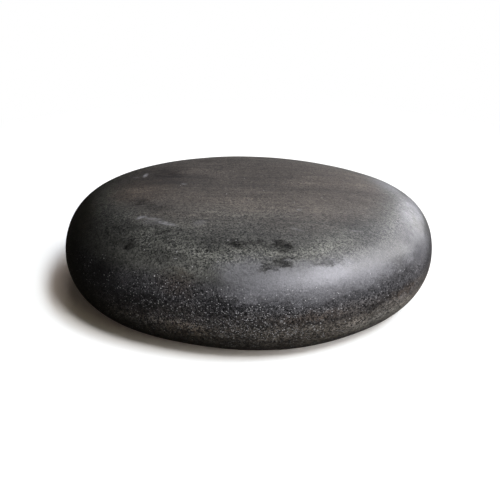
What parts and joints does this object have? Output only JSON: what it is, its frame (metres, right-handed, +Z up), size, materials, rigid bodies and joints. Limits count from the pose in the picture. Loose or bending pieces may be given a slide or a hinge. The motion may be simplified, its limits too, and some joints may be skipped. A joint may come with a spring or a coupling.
{
  "type": "basalt massage stone",
  "caption": "Low oval disc of dark polished basalt with a broad gently crowned top and a full rounded side, warmed and laid on or glided over the body.",
  "frame": {"origin": "in the plane of the resting flat, under the middle of the stone's bounding box", "axes": "+X along the stone's length, +Y across its width, +Z up through its thickness"},
  "size_m": [0.09, 0.0754, 0.0301],
  "materials": {
    "basalt": "satin"
  },
  "bodies": {
    "root": {"basalt_stone": "basalt"}
  },
  "joints": []
}
